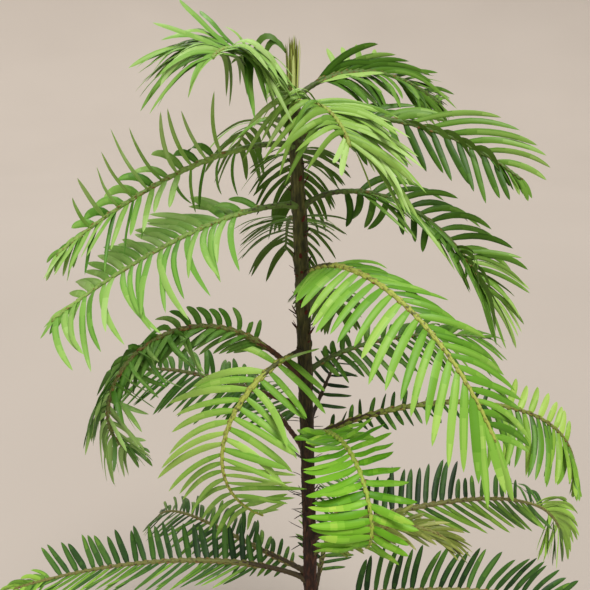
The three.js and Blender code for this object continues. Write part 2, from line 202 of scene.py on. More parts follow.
# Rows of leaves where a bough's two ranks differ. hand is 1 to the left of the way the bough grows and
# -1 to the right. start and end are shares of the leafy part, and a start below 0 lies on the bare limb.
# splay is at the row's foot and its tip, and ends is how much of its full length a leaf has there. shade
# lightens or darkens the row, curl turns each leaf about its own line by chance, and bow bends it
# towards the bough's tip, or back towards the trunk where it is negative. stray is how untidily the
# leaves stand. facing turns all the blades of a row about their own lines, at its foot and its tip, as
# leaves turn to the light.
Row = collections.namedtuple(
    "Row",
    "hand start end spacing leaf lift sag splay ends width shade curl bow stray facing",
    defaults=(0.02, 0.99, None, None, None, None, (74, 26), (0.6, 0.7), None, 0, 30, 0.13, 1, (0, 0)),
)
FULL = (1, 1)
ROWS = {
    "top_left": [
        Row(-1, 0.3, 0.8, 3, 52, -10, 0.44, (46, 46), FULL, 3.2, 0, 40, 0.26),
        Row(-1, 0.45, 1, 2.4, 46, -11, 0.4, (70, 41), (1, 0.8), 3, 0, 50, 0.08),
        Row(-1, 0.5, 1, 3.2, 40, 5, 0.45, (62, 34), (1, 0.8), 2.8, 1, 60, 0.08),
        Row(-1, 0.85, 1, 2.4, 28, -1, 0.4, (34, 19), (1, 0.8), 2.4, 1, 60),
        Row(1, 0.5, 0.95, 2.8, 32, 31, 0.69, (81, 150), FULL, 3.4, 0, 40, -0.5),
        Row(1, 0.58, 0.88, 2.8, 36, 30, 0.7, (140, 130), FULL, 4, 0, 30, -0.36),
        Row(1, 0.55, 1, 2.4, 26, 42, 0.9, (21, 160), FULL, 3, 1, 30, -0.65),
        Row(1, 0.3, 0.8, 3.2, 28, 60, 1, (60, 110), FULL, 3.4, 1, 30, -0.3),
        Row(-1, 0.56, 0.86, 6.5, 37, 21, 0.25, (84, 2), FULL, 4.4, -1, 8, -0.5, 0.3),
        Row(1, 0.36, 0.5, 3, 32, -29, 0.31, (41, 80), FULL, 4.2, -1, 30, -0.15),
        Row(1, 0.22, 0.45, 6, 32, 20, 0.6, (60, 60), FULL, 3.4, -1, 40),
        Row(-1, 0.2, 0.45, 5, 34, 25, 0.5, (75, 60), FULL, 3, 0, 50),
    ],
    "top_right": [
        Row(1, 0.12, 0.55, 7.2, 22, 21, 0.17, (94, 37), FULL, 3.8, 4, 8, 0.07, 0.4),
        Row(-1, 0.05, 0.78, 3.4, 31, 21, 0.23, (55, 92), (1, 0.8), 3.6, 0, 24, -0.33, 0.8),
        Row(1, 0, 0.04, 2.5, 50, 58, 0.18, (26, 26), FULL, 3.8, -1, 12, 0.38, 0.3),
        Row(1, 0.05, 0.5, 7, 46, 46, 0.14, (18, 30), FULL, 3, 0, 20, 0.4, 0.6),
        Row(-1, 0, 0.1, 9, 38, 26, 0.2, (22, 20), FULL, 4.6, 4, 12, 0.1, 0.3),
        Row(1, 0.55, 1, 2.4, 38, -7, 0.06, (17, 79), (1, 0.6), 2.4, 0, 50, 0.37),
        Row(-1, 0.6, 1, 2.2, 28, -30, 0.29, (65, 0), (1, 0.5), 2.4, 0, 50, 0.25),
    ],
    "top_front": [
        Row(-1, -0.12, 0.34, 2.2, 42, 52, 0.8, (86, 78), FULL, 2.6, 2, 30, -0.2, 1.3),
        Row(-1, 0, 0.9, 3.4, 45, 37, 0.92, (65, 70), (1, 0.8), 3.1, 0, 30, -0.5, 0.9, (24, 10)),
        Row(1, 0.02, 0.35, 2.6, 42, 8, 0.2, (50, 50), FULL, 3, 1, 30, 0.3, 0.9, (-40, -40)),
        Row(1, 0.25, 0.95, 2.2, 42, 8, 0.14, (57, 47), (1, 0.9), 2.7, 1, 34, 0.42, 0.9, (-34, -20)),
        Row(1, 0.4, 0.95, 2.8, 40, -4, 0.25, (60, 50), (1, 0.9), 2.5, 2, 34, 0.42, 1.1, (-30, -20)),
        Row(1, 0.86, 1, 2.4, 32, -39, 0.31, (100, 100), FULL, 2.8, 3, 40),
        Row(-1, 0.86, 1, 3.2, 26, -13, -0.37, (40, 36), FULL, 2.8, 3, 40),
    ],
    "high_right": [
        Row(1, 0.34, 0.88, 9.6, 51, 55, 0.26, (31, 37), (1, 0.4), 3, 1, 30, 0.01, 0.6),
        Row(-1, 0.37, 0.9, 7.2, 29, -24, 0.17, (55, 43), (1, 0.5), 3.2, -1, 14, 0.1, 0.4, (-20, -30)),
        Row(-1, 0.36, 0.8, 9, 21, 90, 0.59, (14, 80), FULL, 3, 3, 30, 0.05, 0.9),
        Row(1, 0, 0.34, 6, 34, 30, 0.3, (40, 36), FULL, 3.6, 0, 30),
        Row(-1, 0, 0.36, 7, 28, -10, 0.3, (60, 50), FULL, 3.6, -1, 24),
        Row(1, 0.82, 1, 3.4, 20, 0, 0.5, (40, 12), (1, 0.5), 3, 1, 50),
        Row(-1, 0.82, 1, 3.4, 20, 0, 0.5, (40, 12), (1, 0.5), 3, 0, 50),
    ],
    "high_left": [
        Row(-1, 0.16, 0.88, 8.3, 42, 89, 0, (65, 99), (1, 0.3), 2, 2, 50, -0.2, 0.6),
        Row(-1, 0.2, 0.86, 9, 29, 50, 0.44, (80, 53), (1, 0.2), 4, -1, 20, 0.19, 0.6),
        Row(1, 0.05, 0.42, 9, 32, -100, 0.12, (70, 102), (1, 0.6), 1.8, -1, 60, -0.39, 0.6),
        Row(1, 0.34, 0.97, 7.5, 30, 21, 0.16, (64, 20), (1, 0.5), 3.6, 1, 20, -0.06, 0.8),
        Row(1, 0.45, 0.9, 11, 30, 10, 0.2, (60, 30), (1, 0.6), 2.2, -2, 40, -0.1),
        Row(-1, 0.84, 1, 5, 14, 30, 0.5, (60, 20), (1, 0.7), 2.2, 0, 60),
        Row(1, 0.84, 1, 5, 16, -10, 0.5, (50, 20), (1, 0.7), 2.4, 0, 40),
    ],
    "upper_left": [
        Row(-1, 0.1, 0.88, 4.6, 33, -20, 0.03, (93, 93), (1, 0.2), 4.2, 1, 16, 0.41, 0.6, (50, 20)),
        Row(1, 0.1, 0.99, 5.6, 44, 30, 0.3, (44, 72), (0.8, 0.95), 3.2, 0, 22, -0.41, 0.7, (16, 16)),
        Row(-1, 0, 0.16, 9, 22, 40, 0.4, (60, 50), FULL, 3.6, 0, 20),
        Row(-1, 0.86, 1, 4, 13, 0, 0.3, (60, 20), (1, 0.7), 2.4, 0, 60),
        Row(1, 0.85, 1, 4, 14, 0, 0.5, (60, 20), (1, 0.7), 2.6, -1, 60),
    ],
    "upper_right": [
        Row(1, 0.1, 0.8, 7, 43, 20, 0.4, (53, 81), (0.8, 0.7), 3.6, 0, 24, 0.06, 0.8, (-30, -16)),
        Row(-1, 0.06, 0.34, 8, 35, -90, -0.19, (83, 125), FULL, 4, -1, 16, -0.29, 0.5),
        Row(-1, 0.34, 0.58, 9, 14, -30, 0.3, (76, 50), FULL, 3.6, -1, 20),
        Row(-1, 0.58, 0.84, 7, 12, 24, 0.15, (102, 30), FULL, 3.4, -1, 20, -0.19, 0.6),
        Row(-1, 0.1, 0.95, 4.2, 34, 22, 0.3, (32, 16), (1, 0.8), 2.3, 1, 50, 0.13, 1.8, (-30, -30)),
        Row(-1, 0.7, 0.92, 3.2, 42, 69, 0.59, (126, 28), FULL, 2.4, 1, 40, -0.33, 1.2, (20, 20)),
        Row(1, 0.72, 1, 3, 32, 29, 0.18, (104, 24), (1, 0.9), 2.4, 2, 40, 0.28, 1.2),
    ],
    "middle_front_right": [
        Row(-1, -0.08, 0.99, 6.2, 39, -12, 0.23, (94, 0), (0.7, 0.8), 4.2, 1, 20, 0.06, 0.6, (45, -25)),
        Row(1, -0.02, 0.99, 6.2, 39, 12, 0.42, (43, 62), (0.8, 0.7), 3.3, 0, 24, -0.2, 0.6, (-28, -18)),
    ],
    "middle_front_left": [
        Row(1, -0.12, 0, 8, 42, 10, -0.1, (100, 95), FULL, 4.6, 1, 12, 0.2, 0.4),
        Row(1, -0.08, -0.02, 5, 40, 66, 0.15, (112, 112), FULL, 4.4, 1, 12, 0.1, 0.4),
        Row(-1, -0.1, 0.04, 8, 42, 20, 0.3, (70, 60), FULL, 4.2, 1, 18, 0, 0.4, (20, 20)),
        Row(-1, 0.04, 0.5, 7.2, 51, 3, 0.35, (57, 70), (1, 0.8), 4, 3, 18, 0.01, 0.5, (20, -16)),
        Row(1, 0, 0.5, 7.2, 43, -5, -0.21, (89, 118), (0.8, 0.9), 4.2, 2, 18, 0.36, 0.5, (0, 45)),
        Row(-1, 0.5, 0.99, 6.4, 51, 3, 0.35, (57, 70), (1, 0.8), 3.5, 1, 18, 0.01, 0.5, (20, -16)),
        Row(1, 0.5, 0.99, 6.2, 43, -5, -0.21, (89, 118), (0.8, 0.9), 3.3, 2, 22, 0.36, 0.7, (0, 30)),
    ],
    "high_back": [Row(hand, leaf=43, sag=0.4, width=3.7, shade=1) for hand in (1, -1)],
    "upper_back": [Row(hand, leaf=46, sag=0.36, splay=(80, 36), width=3.7, shade=1) for hand in (1, -1)],
    "middle_right": [Row(1, -0.08), Row(-1, -0.08)],
    "low_back_left": [Row(1, -0.1), Row(-1, -0.1)],
    "middle_left": [
        Row(-1, 0.08, 0.42, 6.5, 19, 76, 0.31, (77, 82), FULL, 4, 0, 30, 0.39, 0.8),
        Row(1, 0, 0.6, 5.6, 26, -81, 0.22, (33, 0), (0.8, 1), 3.4, 0, 20, -0.08),
        Row(1, 0.1, 0.6, 7, 22, 16, 0.5, (36, 30), FULL, 3.2, 1, 30),
        Row(-1, 0.42, 0.72, 3.2, 21, 40, 0.95, (80, 70), FULL, 3.2, 1, 100, 0.6, 4.5),
        Row(-1, 0.7, 0.97, 3.2, 21, 40, 0.95, (70, 60), (1, 0.6), 2.9, 4, 90, 0.5, 4),
        Row(1, 0.36, 0.7, 3.2, 21, -8, 0.7, (75, 65), FULL, 3, 1, 100, -0.6, 4.5),
        Row(1, 0.68, 0.97, 3.2, 22, -8, 0.7, (65, 55), (1, 0.7), 2.8, 4, 90, -0.5, 4),
        Row(1, 0.9, 1, 3, 18, 0, 0.3, (40, 8), FULL, 3, 0, 40, 0.1, 2),
    ],
    "lower_back_right": [
        Row(1, 0.1, 0.98, 9, 17, 20, 0.05, (80, 60), FULL, 3, -1, 16),
        Row(-1, 0.05, 0.98, 9, 20, 6, 0.05, (76, 50), FULL, 3, -1, 16),
    ],
    "lower_front_right": [
        Row(1, 0, 0.3, 6, 22, 6, 0.1, (84, 74), FULL, 4.2, 0, 16, 0.1, 0.8, (-40, -45)),
        Row(-1, 0, 0.3, 6, 24, 6, 0, (60, 70), FULL, 4.4, 0, 16, 0.1, 1, (70, 70)),
        Row(1, 0.3, 0.99, 5.6, 24, 24, -0.02, (77, 47), (0.9, 1), 4.1, 0, 16, -0.05, 0.9, (-35, 35)),
        Row(-1, 0.3, 0.99, 4.8, 31, 6, -0.26, (52, 108), (0.9, 1), 4.1, 0, 16, 0, 0.7, (50, -40)),
    ],
    "lower_right": [
        Row(1, -0.12, 0.42, 7, 13, 40, 0.05, (70, 50), FULL, 2.8, -3, 50, 0.13, 1.6),
        Row(-1, -0.12, 0.42, 6, 14, 0, 0.15, (70, 50), FULL, 2.8, -3, 50, 0.13, 1.6),
        Row(-1, 0.4, 0.97, 5.6, 33, -21, 0.3, (64, 84), (0.7, 0.6), 3.9, 0, 24, -0.42, 0.7, (-20, -60)),
        Row(1, 0.46, 0.8, 8, 17, 41, -0.05, (52, 107), (1, 0.8), 4, 3, 16, -0.15, 0.6, (30, 50)),
        Row(1, 0.8, 1, 3.2, 17, 0, 0.3, (50, 20), (1, 0.6), 2.6, 0, 40),
        Row(-1, 0.86, 1, 2.6, 20, 10, 0.4, (50, 10), (1, 0.6), 2.6, 1, 40),
    ],
    "low_right": [
        Row(1, 0, 0.33, 5.8, 32, 15, 0.04, (76, 38), (0.8, 1), 4.2, -2, 12, 0.1, 0.5),
        Row(1, 0.33, 0.62, 6.2, 20, 17, 0.14, (78, 73), FULL, 3.8, -1, 12, 0.06, 0.6),
        Row(-1, 0, 0.7, 7, 46, -52, 0, (43, 2), (0.7, 1), 3, 1, 16, 0.04, 0.5),
        Row(1, 0.66, 0.8, 6, 36, 10, 0.51, (54, 115), FULL, 3.4, 0, 60, -0.24),
        Row(1, 0.72, 1, 2.6, 42, 70, 0.57, (128, 0), FULL, 3.2, 5, 60, 0.01, 1.2),
        Row(-1, 0.84, 1, 2.2, 26, -46, 0.5, (75, 59), FULL, 2.6, 5, 60, -0.07, 1.8),
    ],
    "low_front_right": [
        Row(1, 0, 0.9, 2.8, 26, 10, 0.2, (40, 14), (1, 0.8), 2.6, 1, 50, 0.1, 1.4),
        Row(-1, 0, 0.9, 2.8, 24, 0, 0.2, (36, 10), (1, 0.8), 2.6, 1, 50, 0.1, 1.4),
    ],
    "low_left": [
        Row(-1, 0, 0.82, 6.6, 28, 9, 0, (78, 42), (0.8, 0.8), 4.4, -1, 12, 0, 0.9),
        Row(1, 0, 0.9, 5.4, 35, -12, 0.08, (40, 1), (0.8, 1), 2.2, 1, 16, 0.09, 0.9),
        Row(-1, 0.84, 1, 3, 22, 30, 0.4, (76, 34), FULL, 3, 3, 60, 0.1, 2),
        Row(1, 0.84, 1, 3, 24, 0, 0.5, (76, 34), FULL, 3, 3, 60, 0.1, 2),
    ],
    "bottom_right": [
        Row(1, 0, 0.98, 6.6, 33, 38, 0, (76, 50), (0.8, 0.6), 4, -1, 12),
        Row(-1, 0, 0.98, 6.2, 32, -10, 0.1, (56, 28), (0.8, 0.7), 3.4, 0, 16),
    ],
}

# The four leaves beside the bud, one broad, two arched and one thin: the height of each one's foot, its
# distance from the trunk's line, its lean to the left, its length, width and sag, and the turn of its
# blade. Then the bud's own colours.
BUD_LEAVES = [
    (636, 4.6, 0.10, 34, 6.4, 0.05, 120),
    (674, 2.0, 0.60, 28, 3.4, 0.75, 100),
    (677, 4.0, 0.80, 32, 3.4, 0.80, 100),
    (664, 8.0, 0.60, 34, 2.2, 0.60, 80),
]
BUD_TINTS = ["#e9f0a2", "#d4de80", "#b6c464", "#7c7e36"]
BUD_UNDERSIDE = "#7c8a3c"
BUD_LEAF_COLOUR = "#54782a"

# Stops of the colour ramps: the trunk's bark from its foot to its green top, the potting mix, the
# granules and the bark chips
BARK_FOOT = [(0.3, "#150a07"), (0.45, "#2e1710"), (0.58, "#4a281c"), (0.75, "#6e4631")]
BARK_MIDDLE = [(0.3, "#140d07"), (0.46, "#2a1d10"), (0.6, "#42301c"), (0.78, "#5f4d30")]
BARK_TOP = [(0.3, "#27290f"), (0.46, "#42431b"), (0.6, "#5c5b2a"), (0.78, "#7c7a44")]
MIX_STOPS = [(0.3, "#1c130d"), (0.5, "#33241a"), (0.62, "#4a3626"), (0.8, "#6a5036")]
GRIT_STOPS = [(0.3, "#b9b2a3"), (0.7, "#dedacf")]
CHIP_TONES = [
    ("#2a1c13", "#4b3322"),
    ("#3d2a1b", "#6b4c31"),
    ("#1d1510", "#3a2a1e"),
    ("#54402c", "#86684a"),
]


def lerp(low, high, share):
    return low + (high - low) * share


def scatter(bough, leaf, channel):
    """Repeatable scatter from 0 to 1 for one leaf of one bough."""
    wave = np.sin(bough * 12.9898 + leaf * 78.233 + channel * 37.719) * 43758.5453
    return wave - np.floor(wave)


def unit(vectors):
    return vectors / np.linalg.norm(vectors, axis=-1, keepdims=True)


def linear(colour):
    """A screen colour such as #3f7f33 as the linear colour that a shader takes."""
    parts = [int(colour[i : i + 2], 16) / 255 for i in (1, 3, 5)]
    return (*[c / 12.92 if c <= 0.04045 else ((c + 0.055) / 1.055) ** 2.4 for c in parts], 1.0)


def blend(colours, share):
    """The screen colour at a share of the way along a row of colours."""
    at = share * (len(colours) - 1)
    low = min(int(at), len(colours) - 2)
    pair = [[int(c[i : i + 2], 16) for i in (1, 3, 5)] for c in colours[low : low + 2]]
    return "#" + "".join(f"{round(lerp(a, b, at - low)):02x}" for a, b in zip(*pair))


# Materials


def new_material(name, roughness):
    """A material with its shader, its tree and the object's own coordinates."""
    material = bpy.data.materials.new(name)
    material.use_nodes = True
    tree = material.node_tree
    shader = tree.nodes["Principled BSDF"]
    shader.inputs["Roughness"].default_value = roughness
    place = tree.nodes.new("ShaderNodeTexCoord").outputs["Object"]
    return material, tree, shader, place


def add_node(tree, kind, output, inputs, **settings):
    """A node's output. Each of the node's inputs is a plain value or another node's output."""
    node = tree.nodes.new("ShaderNode" + kind)
    for name, value in settings.items():
        setattr(node, name, value)
    for key, value in inputs.items():
        if isinstance(value, bpy.types.NodeSocket):
            tree.links.new(value, node.inputs[key])
        else:
            node.inputs[key].default_value = value
    return node.outputs[output]


def noise_node(tree, place, scale, detail, stretch=None):
    """Noise at a place. With stretch, the place is scaled first, so that the grain runs along an axis."""
    if stretch:
        place = add_node(tree, "Mapping", "Vector", {"Vector": place, "Scale": stretch})
    return add_node(tree, "TexNoise", "Fac", {"Vector": place, "Scale": scale, "Detail": detail})


def ramp_node(tree, value, stops):
    tint = add_node(tree, "ValToRGB", "Color", {"Fac": value})
    elements = tint.node.color_ramp.elements
    while len(elements) < len(stops):
        elements.new(0.5)
    for element, (position, colour) in zip(elements, stops):
        element.position = position
        element.color = linear(colour)
    return tint


def height_node(tree, place):
    return add_node(tree, "SeparateXYZ", "Z", {"Vector": place})


def math_node(tree, operation, *values):
    return add_node(tree, "Math", "Value", dict(enumerate(values)), operation=operation)


def range_node(tree, value, low, high, start=0.0, end=1.0):
    """Maps a value from start to end onto low to high."""
    ends = {"From Min": start, "From Max": end, "To Min": low, "To Max": high}
    return add_node(tree, "MapRange", "Result", {"Value": value, **ends})


def mix_node(tree, share, first, second):
    return add_node(tree, "Mix", "Result", {"Factor": share, "A": first, "B": second}, data_type="RGBA")


def bump(tree, shader, height, depth, strength=1.0):
    """Bump of the given depth in millimetres."""
    inputs = {"Height": height, "Distance": depth * MM, "Strength": strength}
    tree.links.new(add_node(tree, "Bump", "Normal", inputs), shader.inputs["Normal"])


def leaf_material(name, colour, roughness):
    """A plain leaf colour with a faintly uneven, softly shining skin."""
    material, tree, shader, place = new_material(name, roughness)
    shader.inputs["Base Color"].default_value = linear(colour)
    shader.inputs["Specular IOR Level"].default_value = 0.22
    grain = noise_node(tree, place, 420, 2)
    tree.links.new(range_node(tree, grain, roughness - 0.08, roughness + 0.1), shader.inputs["Roughness"])
    bump(tree, shader, grain, 0.12, 0.5)
    return material


def stem_material(name, colour, fleck):
    """Green or woody stem with darker flecks where the leaf bases are."""
    material, tree, shader, place = new_material(name, 0.6)
    grain = noise_node(tree, place, 520, 3)
    tint = ramp_node(tree, grain, [(0.32, fleck), (0.5, colour), (0.75, colour)])
    tree.links.new(tint, shader.inputs["Base Color"])
    bump(tree, shader, grain, 0.3, 0.8)
    return material


def bark_material():
    """Red-brown flaky bark below, dark brown further up and olive green near the tip."""
    material, tree, shader, place = new_material("bark", 0.75)
    broad = noise_node(tree, place, 60, 3)
    grain = noise_node(tree, place, 520, 5, stretch=(1, 1, 0.22))
    fine = noise_node(tree, place, 1300, 4)
    foot, middle, top = [ramp_node(tree, grain, stops) for stops in (BARK_FOOT, BARK_MIDDLE, BARK_TOP)]
    height = math_node(tree, "MULTIPLY_ADD", broad, 0.09, height_node(tree, place))
    low_share = range_node(tree, height, 0.0, 1.0, 0.40, 0.50)
    high_share = range_node(tree, height, 0.0, 1.0, 0.49, 0.61)
    lower = mix_node(tree, low_share, foot, middle)
    tree.links.new(mix_node(tree, high_share, lower, top), shader.inputs["Base Color"])
    tree.links.new(range_node(tree, fine, 0.62, 0.9), shader.inputs["Roughness"])
    bump(tree, shader, grain, 0.6)
    return material


def pot_material():
    """Black moulded plastic, dusty towards the foot, with fine flow marks."""
    material, tree, shader, place = new_material("pot_plastic", 0.45)
    dust = noise_node(tree, place, 35, 6)
    fine = noise_node(tree, place, 900, 3)
    marks = noise_node(tree, place, 160, 2, stretch=(1, 1, 0.08))
    black = ramp_node(tree, marks, [(0.3, "#141413"), (0.7, "#1d1c1b")])
    dusty = ramp_node(tree, fine, [(0.3, "#3a342d"), (0.7, "#4d463c")])
    patches = range_node(tree, dust, 0.0, 1.0, 0.48, 0.72)
    low_down = range_node(tree, height_node(tree, place), 0.75, 0.2, 0.0, 0.05)
    share = math_node(tree, "MULTIPLY", patches, low_down)
    tree.links.new(mix_node(tree, share, black, dusty), shader.inputs["Base Color"])
    tree.links.new(range_node(tree, dust, 0.34, 0.62), shader.inputs["Roughness"])
    bump(tree, shader, marks, 0.15, 0.4)
    return material


def earth_material(name, stops, roughness):
    material, tree, shader, place = new_material(name, roughness)
    grain = noise_node(tree, place, 380, 5)
    tree.links.new(ramp_node(tree, grain, stops), shader.inputs["Base Color"])
    bump(tree, shader, noise_node(tree, place, 700, 4), 0.5)
    return material


# Meshes


def add_object(name, data):
    thing = bpy.data.objects.new(name, data)
    bpy.context.scene.collection.objects.link(thing)
    return thing


def smooth_mesh(name, points, faces):
    mesh = bpy.data.meshes.new(name)
    mesh.from_pydata(points, [], faces)
    mesh.polygons.foreach_set("use_smooth", np.ones(len(mesh.polygons), dtype=bool))
    return mesh


def make_piece(name, points, faces, materials, slots=None, sharp=None):
    """A smooth piece from points in millimetres. slots is each face's material, sharp its crease points."""
    mesh = smooth_mesh(name, (np.asarray(points) * MM).tolist(), faces)
    for material in materials:
        mesh.materials.append(material)
    if slots is not None:
        mesh.polygons.foreach_set("material_index", np.asarray(slots, dtype=np.int32))
    if sharp is not None:
        ends = np.empty(2 * len(mesh.edges), dtype=np.int32)
        mesh.edges.foreach_get("vertices", ends)
        creased = np.asarray(sharp)[ends.reshape(-1, 2)].all(axis=1)
        mesh.attributes.new("sharp_edge", "BOOLEAN", "EDGE").data.foreach_set("value", creased)
    mesh.update()
    piece = add_object(name, mesh)
    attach(piece, "root")
    return piece


def ring_faces(rings, sides, first=0, turned_round=False):
    """Quads that join each ring of points to the next one. turned_round makes them face the other way."""
    faces = []
    for j in range(rings - 1):
        for i in range(sides):
            a, b, k = first + j * sides, first + (j + 1) * sides, (i + 1) % sides
            quad = (a + i, b + i, b + k, a + k)
            faces.append((a + i, a + k, b + k, b + i) if turned_round else quad)
    return faces


def tube(centres, sides, ups, radii, count):
    """Points and faces of a tube along centres. radii is one row of radii per ring."""
    angles = np.arange(count) * 2 * np.pi / count
    ring = np.cos(angles)[None, :, None] * sides[:, None] + np.sin(angles)[None, :, None] * ups[:, None]
    points = (centres[:, None] + ring * radii[:, :, None]).reshape(-1, 3)
    last = (len(centres) - 1) * count
    caps = [tuple(range(count)), tuple(last + count - 1 - i for i in range(count))]
    return points, ring_faces(len(centres), count) + caps


def leaf_outline(t):
    """A leaf's width as a share of its greatest width, from its sessile foot to its blunt point."""
    foot = lerp(LEAF_FOOT_WIDTH, 1.0, np.clip(t / LEAF_FOOT_REACH, 0, 1) ** 0.8)
    return foot * (1 - np.clip(t, 0, 1) ** LEAF_TAPER) ** LEAF_BLUNTNESS


# Leaves as arrays, one entry per leaf. out is the way a leaf starts off, forward is across its blade,
# sickle bends it sideways and wave ripples it. tint is its shade at its foot, gain is what its tip adds,
# and glow is how much one band of it lightens. girth and axis are the stem's radius and direction where
# the leaf stands.
Leaves = collections.namedtuple(
    "Leaves", "root out forward length width sag sickle twist wave tint gain band glow girth axis"
)


def plain_leaves(**values):
    """Leaves with 0 for whatever isn't given."""
    nothing = np.zeros(len(values["length"]))
    return Leaves(**{**dict.fromkeys(Leaves._fields, nothing), **values})


def join(parts):
    return Leaves(*[np.concatenate(values) for values in zip(*parts)])


def leaf_curve(leaves, t):
    """Middle line and its direction at shares t of the leaves' lengths, as the source's leaves bend."""
    length = leaves.length[:, None, None]
    sag = leaves.sag[:, None, None]
    t = t[None, :, None]
    out = leaves.out[:, None]
    aside = leaves.forward[:, None] * leaves.sickle[:, None, None]
    bend = out * t * (1 - 0.3 * sag * t) - UPWARD * sag * t * t + aside * t * t
    slope = out * (1 - 0.6 * sag * t) - 2 * UPWARD * sag * t + 2 * aside * t
    return leaves.root[:, None] + length * bend, unit(slope)


def leaf_mesh(leaves):
    """Points, faces, tints and crease flags of thin closed blades, each crowned and with a sunk midrib."""
    rings = np.append(LEAF_RINGS, 1.0)
    middle, along = leaf_curve(leaves, rings)
    across = np.broadcast_to(leaves.forward[:, None], along.shape)
    across = unit(across - along * (across * along).sum(-1, keepdims=True))
    face = np.cross(across, along)
    turn = leaves.twist[:, None, None] * lerp(LEAF_FOOT_TURN, 1, rings)[None, :, None]
    across, face = across * np.cos(turn) + face * np.sin(turn), face * np.cos(turn) - across * np.sin(turn)
    ripple = leaves.wave[:, None] * np.sin(rings[None] * LEAF_RIPPLES + leaves.twist[:, None] * 9)
    middle = middle + face * (ripple * leaves.length[:, None])[..., None]
    half = leaf_outline(rings)[None, :] * leaves.width[:, None] / 2
    tops = []
    for u in LEAF_ACROSS:
        height = -LEAF_CROWN * u * u - (LEAF_MIDRIB if u == 0 else 0)
        tops.append(middle + across * (half * u)[..., None] + face * (half * 2 * height)[..., None])
    depth = LEAF_THICKNESS * leaf_outline(rings)[None, :] + LEAF_MIDRIB * 2 * half
    body = np.stack([*tops, middle - face * depth[..., None]], axis=2)[:, :-1]
    count, ring_count, ring_size = body.shape[:3]
    points = np.concatenate([body.reshape(count, -1, 3), middle[:, -1:]], axis=1)
    tip = ring_count * ring_size
    last = tip - ring_size
    pattern = ring_faces(ring_count, ring_size, turned_round=True)
    pattern += [(last + i, last + (i + 1) % ring_size, tip) for i in range(ring_size)]
    pattern.append(tuple(range(ring_size - 1, -1, -1)))
    faces = [tuple(n * (tip + 1) + c for c in corners) for n in range(count) for corners in pattern]

    # The shares of the length at the middles of the faces, and which of a ring's faces each one is
    shares = np.repeat((rings[:-2] + rings[1:-1]) / 2, ring_size)
    shares = np.concatenate([shares, np.full(ring_size, 0.97), [0.0]])[None]
    around = np.append(np.tile(np.arange(ring_size), ring_count), ring_size)[None]
    glow = leaves.glow[:, None] * np.exp(-(((shares - leaves.band[:, None]) / BAND_REACH) ** 2))
    inner = MIDDLE_GLOW * np.isin(around, (1, 2))
    step = leaves.tint[:, None] + leaves.gain[:, None] * shares + inner + glow
    edges = (0, len(LEAF_ACROSS) - 1)
    tints = np.where(around < edges[1], np.clip(np.floor(step), 0, TINTS - 1), TINTS).astype(int)
    crease = np.zeros(tip + 1, dtype=bool)
    for edge in edges:
        crease[edge:tip:ring_size] = True
    crease[tip] = True
    return points.reshape(-1, 3), faces, tints.reshape(-1), np.tile(crease, count)


# Trunk and boughs


def trunk_centre(z):
    t = (z - SOIL_LEVEL) / (PLANT_TOP - SOIL_LEVEL)
    return np.stack([-TRUNK_LEAN * t - TRUNK_TIP_BEND * t**6, 0 * z, z], axis=-1)


def trunk_radius(z):
    t = np.clip((z - SOIL_LEVEL) / (TRUNK_TIP - SOIL_LEVEL), 0, 1)
    tip = (TRUNK_NECK_RADIUS - TRUNK_TIP_RADIUS) * t**14
    flare = ROOT_FLARE * np.exp(-(z - SOIL_LEVEL) / ROOT_FLARE_HEIGHT)
    return lerp(TRUNK_BASE_RADIUS, TRUNK_NECK_RADIUS, t) - tip + np.minimum(flare, ROOT_FLARE)


def bough_directions(bough, s):
    pitch = np.radians(lerp(bough.rise, bough.fall, s**bough.bend))
    heading = np.radians(bough.turn + bough.sweep * s)
    level = np.cos(pitch)
    along = np.stack([level * np.cos(heading), level * np.sin(heading), np.sin(pitch)], axis=-1)
    side = np.stack([-np.sin(heading), np.cos(heading), 0 * s], axis=-1)
    up = np.cross(along, side)
    roll = math.radians(bough.roll)
    return along, side * math.cos(roll) + up * math.sin(roll), up * math.cos(roll) - side * math.sin(roll)


def bough_path(bough):
    """A function that gives the bough's middle, thickness and directions at shares of its length."""
    middles = (np.arange(PATH_STEPS) + 0.5) / PATH_STEPS
    along = bough_directions(bough, middles)[0]
    start = trunk_centre(np.array([float(bough.height)]))
    points = np.concatenate([start, start + np.cumsum(along, axis=0) * bough.length / PATH_STEPS])
    knots = np.arange(PATH_STEPS + 1) / PATH_STEPS
    thickness = LIMB_RADIUS * min(1, lerp(SHORT_BOUGH_SHARE, 1, bough.length / FULL_BOUGH))

    def frame_at(s):
        centre = np.stack([np.interp(s, knots, points[:, i]) for i in range(3)], axis=-1)
        radius = lerp(thickness, STEM_TIP_RADIUS, s**0.8)
        return centre, radius, *bough_directions(bough, s)

    return frame_at


def bough_rows(bough):
    """The bough's rows of leaves: its own where they are set, and otherwise two ranks alike."""
    rows = ROWS.get(bough.name, [Row(1), Row(-1)])
    look = LOOKS[bough.look]
    usual = {field: getattr(bough, field) for field in ("leaf", "lift", "sag")}
    usual.update(spacing=look.spacing, width=look.width)
    return [row._replace(**{k: v for k, v in usual.items() if getattr(row, k) is None}) for row in rows]


